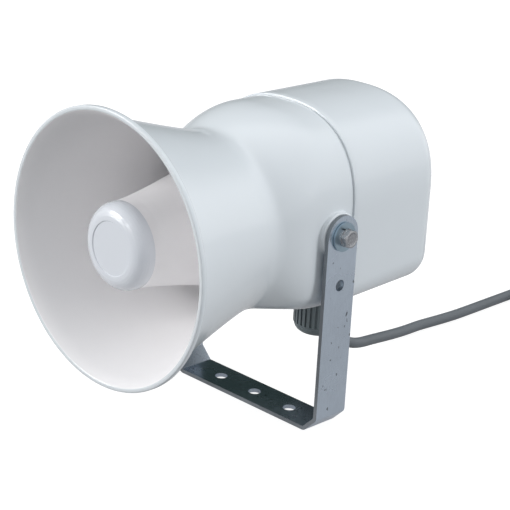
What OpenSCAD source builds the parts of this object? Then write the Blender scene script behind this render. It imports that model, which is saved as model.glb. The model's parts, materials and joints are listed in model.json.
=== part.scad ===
// Weatherproof horn loudspeaker: a folded horn in a moulded housing, held in a tilting bracket.
// X is the pivot axis, the bell's mouth faces -Y, Z is up, and the bracket's base stands on z = 0.

/* [Bell and housing] */
// Diameter across the rim of the bell
rim_d = 160; // [152:1:166]
// Distance from the pivot forward to the rim
rim_reach = 126; // [122:1:134]
// Outside diameter of the neck behind the bell
neck_d = 108; // [104:1:110]
// Distance from the pivot forward to the back of the neck
neck_reach = 44; // [42:1:48]
// Thickness of the moulded walls
wall = 2.8; // [2.4:0.1:3.2]
// Width of the front housing across its flanks
shell_w = 115.6; // [112:0.2:118]
// Height of the front housing's top above the pivot
shell_top = 65.4; // [62:0.2:68]
// Depth of the front housing's flat underside below the pivot
shell_bottom = 46.8; // [44:0.2:48]
// Distance from the pivot back to the parting line of the rear cover
seam_y = 12; // [10:1:16]
// Distance from the pivot back to the rear face of the cover
rear_y = 92; // [88:1:100]
// Step by which the rear cover stands proud of the front housing
seam_step = 1.2; // [0.6:0.1:1.4]
// Thickness of the seal between front housing and rear cover
seal_t = 1.5; // [1:0.1:2]

/* [Bracket] */
// Height of the pivot above the base
pivot_z = 122.5; // [120:0.5:130]
// Gap between each flank of the housing and the bracket's leg
leg_gap = 3.2; // [3:0.1:5]
// Width of the folded strap
strap_w = 25; // [22:0.5:28]
// Thickness of the folded strap
strap_t = 2.5; // [2:0.1:3]
// Size of the slanted fold between base and leg
fold = 9.4; // [7:0.2:12]
// Spacing of the base holes, and of the leg holes
hole_pitch = 30; // [26:1:34]
// Diameter of the base holes
base_hole_d = 8; // [6:0.5:9]
// Diameter of the spare hole in each leg
leg_hole_d = 7; // [5:0.5:8]
// Diameter of the pivot bolts
bolt_d = 6; // [5:0.5:6.5]
// Distance across the flats of the bolt heads
bolt_af = 10; // [9:0.5:11]

/* [Folded horn] */
// Diameter of the nose cap
nose_d = 50.5; // [48:0.5:53]
// Distance from the pivot forward to the front of the nose cap
nose_reach = 120; // [117:0.5:121]
// Diameter of the reflector's open back end
reflector_back_d = 74; // [66:1:78]
// Bore of the throat where the driver meets the horn
throat_d = 18; // [14:1:20]

/* [Driver] */
// Diameter of the ring magnet
magnet_d = 70; // [60:1:74]
// Thickness of the ring magnet
magnet_t = 14; // [10:1:16]
// Diameter of the voice coil
coil_d = 25; // [22:1:28]

/* [Cable] */
// Diameter of the cable
cable_d = 7; // [6.5:0.1:7.5]
// Distance from the pivot back to the cable gland
gland_y = 55.5; // [52:0.5:58]
// Height of the gland's lower face above the base
gland_z = 30; // [28:1:34]

/* [Hidden] */
$fn = 64;

// Clearance between parts that slide together, and between bodies that move past each other
fit = 0.08;
seat = 0.2;
eps = 0.01;

rim_r = rim_d / 2;
neck_r = neck_d / 2;
nose_r = nose_d / 2;
inner_x = shell_w / 2 + leg_gap;
bracket_w = 2 * (inner_x + strap_t);

// Bell profile: a nearly straight flare, then a lip that turns out to the rim
lip_w = 3;
lip_deep = 3.6;
lip_root = 2;
bell_steps = 14;
flare_power = 1.15;
bell_mouth_r = rim_r - 5;
bell_end = rim_reach - lip_deep - lip_root;
function bell_outer(h) = neck_r
    + (bell_mouth_r - neck_r) * pow((h - neck_reach) / (bell_end - neck_reach), flare_power);
function step_h(i) = neck_reach + (bell_end - neck_reach) * i / bell_steps;

// Back of the neck: a bulkhead that the sound turns against, with the driver behind it
bulkhead_h = neck_reach - 14;
bulkhead_t = 4;
turn_r = 9;
turn_steps = 6;
tube_root_r = throat_d / 2 + 4;

// Housing section: a full arch over a flat underside
flank_z = 10;
arch_power = 2.4;
sole_front_r = 8;
sole_back_r = 19;
arch_steps = 28;
flank_steps = 4;
floor_steps = 8;
sole_steps = 6;
shoulder_slope = 0.55;
shoulder_soft = 4;
shoulder_blend = 9;
rear_round = 14.5;
round_steps = 6;
cover_w = shell_w + 2 * seam_step;
cover_top = shell_top + seam_step;
cover_bottom = shell_bottom + seam_step;
cover_y = seam_y + seal_t;

function sole_r(y) = sole_front_r
    + (sole_back_r - sole_front_r) * min(max((y + neck_reach) / (rear_y + neck_reach), 0), 1);
function arch(x, z) = [for (i = [0:arch_steps]) let (a = 180 * i / arch_steps)
    [x * sign(cos(a)) * pow(abs(cos(a)), 2 / arch_power), flank_z + z * pow(sin(a), 2 / arch_power)]];
function corner(cx, cz, r, a0, a1) = [for (i = [0:sole_steps])
    let (a = a0 + (a1 - a0) * i / sole_steps) [cx + r * cos(a), cz + r * sin(a)]];
function span(p, q, steps) = [for (i = [1:steps - 1]) p + (q - p) * i / steps];

// Outline of the section moved inwards by "inset", from the right flank round over the top
function section(w, top, bottom, y, inset) =
    let (x = w / 2 - inset, b = bottom - inset, r = sole_r(y) - inset)
    let (over = arch(x, top - flank_z - inset))
    let (left = corner(r - x, r - b, r, 180, 270), right = corner(x - r, r - b, r, 270, 360))
    concat(over, span(over[arch_steps], left[0], flank_steps), left,
        span(left[sole_steps], right[0], floor_steps), right,
        span(right[sole_steps], over[0], flank_steps));

// Shoulder in front of the housing: a cone that grows softly out of the neck
function shoulder(h) = let (d = neck_reach - h)
    neck_r + shoulder_slope * (d + sqrt(d * d + shoulder_soft * shoulder_soft)) / 2;
function soft_min(a, b, k) = let (s = max(k - abs(a - b), 0) / k) min(a, b) - s * s * k / 4;

// A ring of the housing at distance h in front of the pivot, trimmed by the shoulder cone
function shell_ring(h, inset) =
    [for (p = section(shell_w, shell_top, shell_bottom, -h, inset))
        let (r = norm(p), cut = soft_min(r, shoulder(h) - inset, shoulder_blend))
        [p[0] * cut / r, -h, pivot_z + p[1] * cut / r]];
// A ring of the rear cover at distance y behind the pivot
function cover_ring(y, inset) =
    [for (p = section(cover_w, cover_top, cover_bottom, y, inset)) [p[0], y, pivot_z + p[1]]];

// Solid skinned over a list of rings: closed on itself like a tyre, or capped at both ends
function middle(r) = [for (p = r) 1 / len(r)] * r;
module loft(rings, closed) {
    n = len(rings[0]);
    m = len(rings);
    last = closed ? m - 1 : m - 2;
    sides = [for (j = [0:last], i = [0:n - 1])
        let (a = j * n, b = ((j + 1) % m) * n, k = (i + 1) % n) [a + i, a + k, b + k, b + i]];
    centres = closed ? [] : [middle(rings[0]), middle(rings[m - 1])];
    caps = closed ? [] : [for (i = [0:n - 1]) let (k = (i + 1) % n, b = (m - 1) * n)
        each [[k, i, m * n], [b + i, b + k, m * n + 1]]];
    polyhedron(points = concat([for (r = rings) each r], centres), faces = concat(sides, caps),
        convexity = 6);
}

// Things drawn round the horn's axis point forward along +Z of their own, from the pivot
module along_horn() translate([0, 0, pivot_z]) rotate([90, 0, 0]) children();
// Things drawn on one flank point outwards along +Z of their own, and repeat on the other flank
module both_flanks() {
    for (side = [0, 1])
        mirror([side, 0, 0]) translate([0, 0, pivot_z]) rotate([0, 90, 0]) children();
}
module ring(od, id, t) {
    difference() {
        cylinder(d = od, h = t);
        translate([0, 0, -1]) cylinder(d = id, h = t + 2);
    }
}
module tube_z(od, id, z0, z1) translate([0, 0, z0]) ring(od, id, z1 - z0);

module at_spots(y) {
    for (p = post_spots) translate([p[0], y, pivot_z + p[1]]) rotate([-90, 0, 0]) children();
}
module at_driver_holes(h) {
    for (a = [45:90:315])
        along_horn() rotate([0, 0, a]) translate([driver_pcd / 2, 0, h]) children();
}
module below_gland(z) translate([0, gland_y, z]) children();

// Pivot bosses on the flanks, with brass inserts for the bolts
boss_d = 27;
boss_end = inner_x - seat;
insert_d = bolt_d + 4;
insert_len = 14;
insert_back = boss_end - insert_len;
press = 0.05;

// Screw posts in the corners of the housing, and the wells that reach them from behind
post_d = 9;
post_side = 10;
well_d = 7;
well_floor = 30;
post_front = 2;
post_x = shell_w / 2 - 14.8;
post_up = shell_top - 21.4;
foot_x = shell_w / 2 - 8.8;
foot_down = shell_bottom - 8.8;
post_spots = [[post_x, post_up], [-post_x, post_up], [foot_x, -foot_down], [-foot_x, -foot_down]];
cover_screw_d = 3.5;
cover_head_d = 6.4;
cover_head_t = 2.4;
cover_screw_tip = 2;

// Driver stack, as distances in front of the pivot
flange_t = 5;
gasket_t = 1;
plug_t = 1.5;
surround_t = 0.5;
plate_t = 6;
yoke_t = 6;
gap = 0.8;
bulkhead_back = bulkhead_h - bulkhead_t;
flange_back = bulkhead_back - flange_t;
gasket_back = flange_back - gasket_t;
plug_back = gasket_back - plug_t;
plate_front = plug_back - surround_t;
plate_back = plate_front - plate_t;
magnet_back = plate_back - magnet_t;
yoke_back = magnet_back - yoke_t;
driver_d = magnet_d + 14;
driver_pcd = magnet_d + 8;
flange_d = driver_pcd - 10;
lug_d = 7;
lug_screw_d = 3;
lug_screw_len = 13;
pole_r = coil_d / 2 - gap;
gap_r = coil_d / 2 + gap;

// One moulding: bell, neck, front housing, pivot bosses, screw posts and driver lugs
module bell_profile() {
    h_lip = rim_reach - lip_deep;
    inner_r = neck_r - wall;
    outer = [for (i = [0:bell_steps]) [bell_outer(step_h(i)), step_h(i)]];
    inner = [for (i = [bell_steps:-1:0]) [bell_outer(step_h(i)) - wall, step_h(i)]];
    turn = [for (i = [0:turn_steps]) let (a = 90 * i / turn_steps)
        [inner_r - turn_r * (1 - cos(a)), bulkhead_h + turn_r * (1 - sin(a))]];
    polygon(concat(
        [[tube_root_r, bulkhead_back], [inner_r - turn_r, bulkhead_back],
            [inner_r, bulkhead_h - 1], [neck_r - 1, neck_reach - 7],
            [neck_r - 0.2, neck_reach - 3]],
        outer,
        [[rim_r - 3, h_lip - 0.8], [rim_r - 0.8, h_lip], [rim_r, h_lip + 0.8],
            [rim_r, rim_reach - 0.8], [rim_r - 0.8, rim_reach],
            [rim_r - lip_w, rim_reach], [rim_r - lip_w - 1, rim_reach - 1]],
        inner, turn, [[tube_root_r, bulkhead_h]]));
}
module front_shell() {
    start = neck_reach + 6;
    stations = [start, 46, 42, 38, 34, 30, 26, 22, 17, 10, 0, -seam_y];
    inner_stations = [-seam_y, 0, 12, 20, 27, start];
    difference() {
        loft(concat([for (h = stations) shell_ring(h, 0)],
            [for (h = inner_stations) shell_ring(h, wall)]), true);
        along_horn() translate([0, 0, bulkhead_h]) cylinder(r = neck_r - wall / 2, h = 40);
    }
}
module horn_body() color("white") {
    difference() {
        union() {
            along_horn() rotate_extrude($fn = 128) bell_profile();
            front_shell();
            both_flanks() difference() {
                translate([0, 0, insert_back - 2])
                    cylinder(d = boss_d, h = boss_end - insert_back + 2);
                translate([-boss_d, seam_y - seat, 0]) cube([2 * boss_d, boss_d, bracket_w]);
            }
            at_spots(-post_front) cylinder(d = post_d, h = seam_y + post_front);
            at_driver_holes(plate_front) cylinder(d = lug_d, h = bulkhead_h - 1 - plate_front);
        }
        both_flanks() translate([0, 0, insert_back]) cylinder(d = insert_d, h = insert_len + 5);
        at_spots(cover_screw_tip - 1) cylinder(d = cover_screw_d, h = seam_y + 10);
        at_driver_holes(plate_front - 1) cylinder(d = lug_screw_d, h = bulkhead_back - plate_front);
    }
}

// Folded horn inside the bell: throat tube, reflector cup over it, nose cap over the cup
tube_end = nose_reach - 21;
tube_flare = 4.5;
tube_wall = 2;
cup_front = nose_reach - 10.5;
cup_wall = 2.2;
cup_t = 3;
cup_end = neck_reach + 2;
cup_steps = 10;
cup_power = 1.3;
nose_wall = 2;
edge_r = 8.5;
edge_steps = 8;
disc_r = 15.75;
disc_deep = 0.5;
cup_r = nose_r - 0.4;
cup_back_r = reflector_back_d / 2;
spigot_r = nose_r - nose_wall - fit;
spigot_len = 2;
rivet_count = 3;
rivet_back = cup_front - 22;
rivet_r = 17;
rivet_boss_d = 6;
small_screw_d = 2.6;
small_head_d = 5;
small_head_t = 1.8;
small_screw_len = 12;
function cup_outer(h) = cup_r
    + (cup_back_r - cup_r) * pow((cup_front - h) / (cup_front - cup_end), cup_power);
function cup_h(i) = cup_front + (cup_end - cup_front) * i / cup_steps;

module at_rivets(h) {
    for (i = [0:rivet_count - 1])
        along_horn() rotate([0, 0, 90 + 360 * i / rivet_count]) translate([rivet_r, 0, h])
            children();
}
module reflector() color("seashell") {
    difference() {
        along_horn() rotate_extrude($fn = 96) polygon(concat(
            [[0, cup_front + cup_t], [spigot_r - 1.5, cup_front + cup_t],
                [spigot_r - 1.5, cup_front + spigot_len], [spigot_r, cup_front + spigot_len],
                [spigot_r, cup_front]],
            [for (i = [0:cup_steps]) [cup_outer(cup_h(i)), cup_h(i)]],
            [[cup_back_r - cup_wall / 2, cup_end - 1]],
            [for (i = [cup_steps:-1:1]) [cup_outer(cup_h(i)) - cup_wall, cup_h(i)]],
            [[cup_r - cup_wall, cup_front - 4], [cup_r - cup_wall - 2, cup_front],
                [0, cup_front]]));
        at_rivets(cup_front - 1) cylinder(d = small_screw_d + 2 * fit, h = cup_t + 2);
    }
}
module throat_tube() color("gainsboro") {
    root = throat_d / 2;
    mouth = root + tube_flare;
    difference() {
        union() {
            along_horn() rotate_extrude($fn = 96) polygon([
                [root, flange_back], [flange_d / 2, flange_back], [flange_d / 2, bulkhead_back],
                [tube_root_r - fit, bulkhead_back], [tube_root_r - fit, bulkhead_h + 1],
                [root + tube_wall + 0.4, bulkhead_h + 4], [mouth + tube_wall, tube_end],
                [mouth, tube_end]]);
            at_rivets(rivet_back) cylinder(d = rivet_boss_d, h = cup_front - rivet_back);
        }
        at_rivets(cup_front - small_screw_len) cylinder(d = small_screw_d, h = small_screw_len + 1);
    }
}
module reflector_screws() color("silver") {
    at_rivets(cup_front + cup_t) cylinder(d = small_head_d, h = small_head_t);
    at_rivets(cup_front + cup_t + small_head_t - small_screw_len)
        cylinder(d = small_screw_d - 2 * press, h = small_screw_len - small_head_t + eps);
}
function nose_edge(r, a0, a1) = [for (i = [0:edge_steps])
    let (a = a0 + (a1 - a0) * i / edge_steps)
        [nose_r - edge_r + r * cos(a), nose_reach - edge_r + r * sin(a)]];
module nose_cap() color("white") {
    along_horn() rotate_extrude($fn = 96) polygon(concat(
        [[0, nose_reach - nose_wall], [0, nose_reach - disc_deep],
            [disc_r - 0.4, nose_reach - disc_deep], [disc_r, nose_reach]],
        nose_edge(edge_r, 90, 0),
        [[nose_r, cup_front], [nose_r - nose_wall, cup_front]],
        nose_edge(edge_r - nose_wall, 0, 90)));
}

// Driver: gasket, phase plug, diaphragm and coil, top plate, magnet, yoke, screws, terminals
module throat_gasket() color("dimgray")
    along_horn() translate([0, 0, gasket_back]) ring(flange_d, throat_d, gasket_t);
module phase_plug() color("black") {
    slot_r = coil_d / 4;
    difference() {
        along_horn() translate([0, 0, plug_back]) cylinder(d = flange_d, h = plug_t);
        for (a = [0:45:315])
            along_horn() rotate([0, 0, a]) translate([slot_r, 0, plug_back - 1])
                cylinder(d = 3, h = plug_t + 2);
    }
}
module diaphragm() color("goldenrod") {
    dome_h = 4;
    along_horn() rotate_extrude($fn = 64) polygon([
        [0, plate_front - dome_h + 0.3], [coil_d / 2 - 3, plate_front - dome_h / 2],
        [coil_d / 2 - 0.4, plate_front], [flange_d / 2, plate_front],
        [flange_d / 2, plug_back], [coil_d / 2, plug_back], [coil_d / 2 - 3, plug_back - 1.2],
        [0, plug_back - dome_h + 0.8]]);
}
module voice_coil() color("peru") {
    coil_t = 0.4;
    coil_len = plate_t + 1;
    along_horn() translate([0, 0, plate_front - coil_len - 0.2])
        ring(coil_d, coil_d - 2 * coil_t, coil_len);
}
module top_plate() color("lightsteelblue") {
    difference() {
        along_horn() translate([0, 0, plate_back]) ring(driver_d, 2 * gap_r, plate_t);
        at_driver_holes(plate_back - 1) cylinder(d = lug_screw_d + 0.4, h = plate_t + 2);
    }
}
module ring_magnet() color("darkslategray")
    along_horn() translate([0, 0, magnet_back]) ring(magnet_d, magnet_d / 2, magnet_t);
module magnet_yoke() color("lightsteelblue") {
    pole_front = plate_front - 5.5;
    along_horn() rotate_extrude($fn = 64) polygon([
        [0, yoke_back], [magnet_d / 2 - 3, yoke_back], [magnet_d / 2 - 1, yoke_back + 2],
        [magnet_d / 2 - 1, magnet_back], [pole_r + 1.5, magnet_back],
        [pole_r, magnet_back + 1.5], [pole_r, pole_front], [0, pole_front]]);
}
module driver_screws() color("silver") {
    head_d = 5.2;
    head_t = 2;
    at_driver_holes(plate_back - head_t) cylinder(d = head_d, h = head_t);
    at_driver_holes(plate_back - eps) cylinder(d = lug_screw_d - 2 * press, h = lug_screw_len);
}
module driver_terminals() color("saddlebrown") {
    block = [16, 4, 7];
    along_horn() translate([-block[0] / 2, magnet_d / 2 + seat, plate_back - block[2]])
        difference() {
            cube(block);
            for (x = [4, 12]) translate([x, 2, -1]) cylinder(d = 1.6, h = 5);
        }
}

// Line transformer on two pillars behind the driver, and the terminal block beside the gland
core_w = 42;
core_h = 35;
core_t = 14;
core_leg = 7;
core_front = rear_y - wall - 28;
ear_x = core_w / 2 + 6;
ear_w = 10;
ear_t = 1.5;
ear_screw_d = 3;
ear_screw_len = 9;
ear_head_d = 5.4;
ear_head_t = 2;
pillar_d = 9;
core_up = 8;
module at_core(y) translate([0, y, pivot_z + core_up]) children();
module transformer_core() color("slategray") {
    window = [(core_w - 4 * core_leg) / 2, core_t + 2, core_h - 2 * core_leg];
    at_core(core_front) difference() {
        union() {
            translate([-core_w / 2, 0, -core_h / 2]) cube([core_w, core_t, core_h]);
            translate([-ear_x - ear_w / 2, core_t - ear_t, -ear_w / 2])
                cube([2 * ear_x + ear_w, ear_t, ear_w]);
        }
        for (s = [-1, 1])
            translate([s * (core_leg + window[0] / 2) - window[0] / 2, -1, -window[2] / 2])
                cube(window);
        for (s = [-1, 1])
            translate([s * ear_x, core_t - 2 * ear_t, 0]) rotate([-90, 0, 0])
                cylinder(d = ear_screw_d + 0.4, h = 3 * ear_t);
    }
}
module transformer_winding() color("darkgoldenrod") {
    side = (core_w - 4 * core_leg) / 2 - seat;
    over = core_leg + side;
    tall = core_h - 2 * core_leg - 2 * seat;
    at_core(core_front - side) translate([-over, 0, -tall / 2]) difference() {
        cube([2 * over, core_t + 2 * side, tall]);
        translate([side - press, side - press, -1])
            cube([2 * core_leg + 2 * press, core_t + 2 * press, tall + 2]);
    }
}
module transformer_screws() color("silver") {
    for (s = [-1, 1]) at_core(core_front + core_t - ear_t)
        translate([s * ear_x, 0, 0]) rotate([-90, 0, 0]) {
            translate([0, 0, -ear_head_t]) cylinder(d = ear_head_d, h = ear_head_t);
            translate([0, 0, -eps]) cylinder(d = ear_screw_d - 2 * press, h = ear_screw_len);
        }
}
block_w = 12;
block_l = 22;
block_h = 11;
block_gap = 4;
screw_way_d = 4;
wire_way_d = 3;
module terminal_block() color("ivory") {
    x = -lock_af / 2 - block_gap - block_w;
    translate([x, gland_y - block_l / 2, pivot_z - cover_bottom + wall]) difference() {
        cube([block_w, block_l, block_h]);
        for (y = [block_l / 4, block_l * 3 / 4]) translate([0, y, 0]) {
            translate([block_w / 2, 0, screw_way_d]) cylinder(d = screw_way_d, h = block_h);
            translate([-1, 0, screw_way_d + 0.5]) rotate([0, 90, 0])
                cylinder(d = wire_way_d, h = block_w + 2);
        }
    }
}

// Rear cover: a deep cup with rounded back, screw wells, transformer pillars and gland socket
function reversed(list) = [for (i = [len(list) - 1:-1:0]) list[i]];
function rounding(r, base, off) = [for (i = [0:round_steps]) let (a = 90 * i / round_steps)
    cover_ring(base + r * sin(a), off + r * (1 - cos(a)))];
socket_d = 34;
socket_h = 6.5;
stem_d = 24;
stem_wall = 2.5;
module rear_cover() color("white") {
    floor_z = pivot_z - cover_bottom;
    straight = rear_y - rear_round;
    skin = 0.6;
    difference() {
        union() {
            loft(concat(
                reversed(rounding(rear_round - wall, straight, wall)),
                [cover_ring(45, wall), cover_ring(cover_y, wall), cover_ring(cover_y, 0),
                    cover_ring(45, 0)],
                rounding(rear_round, straight, 0)), false);
            intersection() {
                loft(concat([cover_ring(cover_y, skin), cover_ring(45, skin)],
                    rounding(rear_round - skin, straight, skin)), false);
                for (p = post_spots)
                    translate([p[0] - post_side / 2, cover_y, pivot_z + p[1] - post_side / 2])
                        cube([post_side, rear_y, post_side]);
            }
            below_gland(floor_z - socket_h) cylinder(d = socket_d, h = socket_h + wall / 2);
            for (s = [-1, 1]) at_core(core_front + core_t)
                translate([s * ear_x, 0, 0]) rotate([-90, 0, 0])
                    cylinder(d = pillar_d, h = rear_y - skin - core_front - core_t);
        }
        at_spots(well_floor) cylinder(d = well_d, h = rear_y);
        at_spots(seam_y - 2) cylinder(d = cover_screw_d + 0.4, h = rear_y);
        for (s = [-1, 1]) at_core(core_front + core_t - 1)
            translate([s * ear_x, 0, 0]) rotate([-90, 0, 0])
                cylinder(d = ear_screw_d, h = ear_screw_len);
        below_gland(floor_z - socket_h - 1) cylinder(d = stem_d + 2 * seat, h = socket_h + wall + 2);
    }
}
module cover_screws() color("silver") {
    at_spots(well_floor) cylinder(d = cover_head_d, h = cover_head_t);
    at_spots(cover_screw_tip)
        cylinder(d = cover_screw_d - 2 * press, h = well_floor - cover_screw_tip + eps);
}
module housing_seal() color("lightgray") {
    lip = 0.8;
    loft([cover_ring(seam_y, seam_step + lip), cover_ring(cover_y, seam_step + lip),
        cover_ring(cover_y, wall + seam_step - 0.4), cover_ring(seam_y, wall + seam_step - 0.4)], true);
}

// Pivot hardware on each flank, from the inside outwards
head_t = 4;
plain_t = 1.2;
plain_d = 17.5;
spring_t = 1.5;
spring_d = 11;
plain_z = inner_x + strap_t + seat;
spring_z = plain_z + plain_t;
head_z = spring_z + spring_t;
module thread_inserts() color("goldenrod") {
    both_flanks() translate([0, 0, insert_back])
        ring(insert_d - 2 * press, bolt_d + 2 * press, insert_len);
}
module pivot_bolts() color("silver") {
    corner_d = bolt_af / cos(30);
    both_flanks() {
        difference() {
            translate([0, 0, head_z]) rotate([0, 0, 20]) cylinder(d = corner_d, h = head_t, $fn = 6);
            translate([0, 0, head_z + head_t - 0.8]) cylinder(d = bolt_af - 3.5, h = 2);
        }
        translate([0, 0, insert_back + 1]) cylinder(d = bolt_d, h = head_z - insert_back - 1 + eps);
    }
}
module plain_washers() color("lightsteelblue")
    both_flanks() translate([0, 0, plain_z]) ring(plain_d, bolt_d + 0.4, plain_t);
module spring_washers() color("silver") {
    split = 1.2;
    both_flanks() translate([0, 0, spring_z]) difference() {
        ring(spring_d, bolt_d + 0.4, spring_t);
        rotate([0, 0, 200]) translate([0, -split / 2, -1]) cube([spring_d, split, spring_t + 2]);
    }
}

// Bracket: one strap folded up from a flat base by two slanted folds, with round leg tops
module bracket() color("darkgray") {
    out_x = bracket_w / 2;
    cut = strap_t * tan(22.5);
    half = [[0, 0], [out_x - fold, 0], [out_x, fold], [out_x, fold + 4],
        [out_x - strap_t, fold + 4], [out_x - strap_t, fold + cut],
        [out_x - fold - cut, strap_t], [0, strap_t]];
    pivot_hole_d = bolt_d + 2 * fit;
    difference() {
        union() {
            for (side = [0, 1]) mirror([side, 0, 0]) {
                translate([0, strap_w / 2, 0]) rotate([90, 0, 0])
                    linear_extrude(strap_w) polygon(half);
                translate([inner_x, 0, 0]) rotate([90, 0, 90]) linear_extrude(strap_t)
                    translate([-strap_w / 2, fold + 4 - eps]) square([strap_w, pivot_z - fold - 4 + eps]);
                translate([inner_x, 0, pivot_z]) rotate([0, 90, 0])
                    cylinder(d = strap_w, h = strap_t, $fn = 96);
            }
        }
        for (i = [-1:1]) translate([i * hole_pitch, 0, -1]) cylinder(d = base_hole_d, h = strap_t + 2);
        both_flanks() translate([0, 0, inner_x - 1]) cylinder(d = pivot_hole_d, h = strap_t + 2);
        both_flanks() translate([hole_pitch, 0, inner_x - 1])
            cylinder(d = leg_hole_d, h = strap_t + 2);
    }
}

// Cable gland under the rear cover, from the socket downwards: the seal sits up inside the nut
washer_t = 1.5;
hex_t = 6;
hex_af = 30;
lock_t = 5;
lock_af = 30;
nut_d = 32;
nut_steps = 6;
nut_round = 6;
rib_count = 30;
rib_w = 1.4;
mouth_d = 14;
seal_low = gland_z + 8;
socket_z = pivot_z - cover_bottom - socket_h;
hex_top = socket_z - washer_t;
nut_top = hex_top - hex_t;
stem_low = nut_top - 15;
module gland_washer() color("dimgray")
    below_gland(hex_top) ring(socket_d - 2, stem_d + 2 * seat, washer_t);
module gland_body() color("darkslategray") {
    below_gland(0) difference() {
        union() {
            translate([0, 0, nut_top]) cylinder(d = hex_af / cos(30), h = hex_t, $fn = 6);
            translate([0, 0, stem_low])
                cylinder(d = stem_d, h = pivot_z - cover_bottom + wall + lock_t + 2 - stem_low);
        }
        translate([0, 0, stem_low - 1]) cylinder(d = stem_d - 2 * stem_wall, h = pivot_z);
    }
}
module gland_locknut() color("darkslategray") {
    below_gland(pivot_z - cover_bottom + wall) difference() {
        cylinder(d = lock_af / cos(30), h = lock_t, $fn = 6);
        translate([0, 0, -1]) cylinder(d = stem_d + 2 * fit, h = lock_t + 2);
    }
}
module gland_seal() color("black")
    below_gland(0) tube_z(mouth_d - 2 * fit, cable_d - 0.4, seal_low, stem_low);
module gland_nut() color("darkslategray") {
    outer_r = nut_d / 2;
    low_r = outer_r - nut_round;
    rib_low = gland_z + nut_round;
    below_gland(0) difference() {
        rotate_extrude() polygon(concat(
            [[mouth_d / 2, gland_z + 1], [mouth_d / 2 + 1, gland_z]],
            [for (i = [0:nut_steps]) let (a = 90 * i / nut_steps)
                [low_r + nut_round * sin(a), gland_z + nut_round * (1 - cos(a))]],
            [[outer_r, rib_low], [outer_r + 0.5, rib_low + 0.5], [outer_r + 0.5, nut_top - 1],
                [outer_r, nut_top - fit], [stem_d / 2 + fit, nut_top - fit],
                [stem_d / 2 + fit, stem_low - fit], [mouth_d / 2, stem_low - fit]]));
        for (i = [0:rib_count - 1]) rotate([0, 0, (i + 0.5) * 360 / rib_count])
            translate([outer_r - 0.4, -rib_w / 2, rib_low + 0.8]) cube([3, rib_w, 60]);
    }
}

// Cable: it drops out of the gland, bends back along the floor and ends in a tied coil
route = [[0, 55.5, 37.95], [0, 55.5, 36.5], [0, 56, 33.6], [0, 57.5, 30], [0, 60.2, 26.6],
    [0, 63.6, 23.9], [0, 68, 21.3], [0, 75, 18], [0, 83, 14.6], [0, 91.6, 11.2], [-1, 101, 9],
    [-2.2, 112, 7.5], [-3, 125, 6], [-3.4, 138, 4.8], [-4, 151, 3.9], [-4.5, 164, 3.5],
    [-3.3, 177, 3.5], [-2, 190, 3.5], [-1.2, 202, 3.5], [-1, 214, 3.5], [-1, 232, 3.5],
    [-1, 250, 3.5], [-1, 268, 3.5], [-1, 286, 3.5]];
tube_sides = 10;
coil_x = 45;
coil_y = 312;
coil_in = 35.5;
coil_out = 49.5;
coil_low = 7;
coil_high = 13.1;
coil_stop = -30;
core_d = 2.6;
core_len = 15;
wire_d = 1.4;
bare_len = 9;
tie_w = 5;
tie_t = 1.2;

function unit(v) = v / norm(v);
function tangent(i) = unit(route[min(i + 1, len(route) - 1)] - route[max(i - 1, 0)]);
module cable() color("gray") {
    loft([for (i = [0:len(route) - 1])
        let (t = tangent(i), u = unit(cross([1, 0, 0], t)), v = cross(t, u))
            [for (k = [0:tube_sides - 1]) let (a = 360 * k / tube_sides)
                route[i] + cable_d / 2 * (u * cos(a) + v * sin(a))]], false);
}
module at_coil(angle) translate([coil_x, coil_y, 0]) rotate([0, 0, angle]) children();
module cable_coil() color("gray") {
    mid = (coil_in + coil_out) / 2;
    difference() {
        union() {
            at_coil(0) rotate_extrude() translate([coil_in, 0])
                square([coil_out - coil_in, coil_low]);
            at_coil(coil_stop) rotate_extrude(angle = 270) translate([mid - cable_d / 2, coil_low - eps])
                square([cable_d, coil_high - coil_low]);
        }
        at_coil(90) translate([coil_in - tie_w, -tie_w / 2 - fit, -1])
            cube([coil_out - coil_in + 2 * tie_w, tie_w + 2 * fit, 1 + tie_t + fit]);
    }
}
module cable_tie() color("black") {
    inside = coil_out - coil_in + 4 * fit;
    at_coil(90) translate([coil_in - 2 * fit - tie_t, -tie_w / 2, 0]) difference() {
        cube([inside + 2 * tie_t, tie_w, coil_high + 2 * fit + tie_t]);
        translate([tie_t, -1, tie_t])
            cube([inside, tie_w + 2, coil_high + 2 * fit - tie_t]);
    }
}
module cable_ends() color("tomato") {
    mid = (coil_in + coil_out) / 2;
    for (s = [-1, 1])
        at_coil(coil_stop) translate([mid + s * 1.6, -0.2, coil_low + core_d / 2])
            rotate([90, 0, 0]) {
                cylinder(d = core_d, h = core_len);
                cylinder(d = wire_d, h = core_len + bare_len);
            }
}

horn_body();
reflector();
throat_tube();
reflector_screws();
nose_cap();
throat_gasket();
phase_plug();
diaphragm();
voice_coil();
top_plate();
ring_magnet();
magnet_yoke();
driver_screws();
driver_terminals();
transformer_core();
transformer_winding();
transformer_screws();
terminal_block();
thread_inserts();
housing_seal();
rear_cover();
cover_screws();
pivot_bolts();
spring_washers();
plain_washers();
gland_body();
gland_washer();
gland_locknut();
gland_seal();
gland_nut();
bracket();
cable();
cable_coil();
cable_tie();
cable_ends();
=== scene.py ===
# %% [markdown]
# # A weatherproof horn loudspeaker
#
# The object is a folded horn: a round bell, a small reflector inside it, a moulded housing
# behind it, and a steel strap that holds the housing by two bolts. A lead leaves a gland
# under the housing and runs away behind it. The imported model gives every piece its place
# and size. This lesson dresses it: it remakes the mouldings with smooth surfaces, lays the
# lead, and gives each material its own nodes. Lengths are in metres, and the bell looks
# along -Y.

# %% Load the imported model
import json
import math

import bmesh
import bpy
import numpy as np
from mathutils import Matrix, Vector

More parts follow.
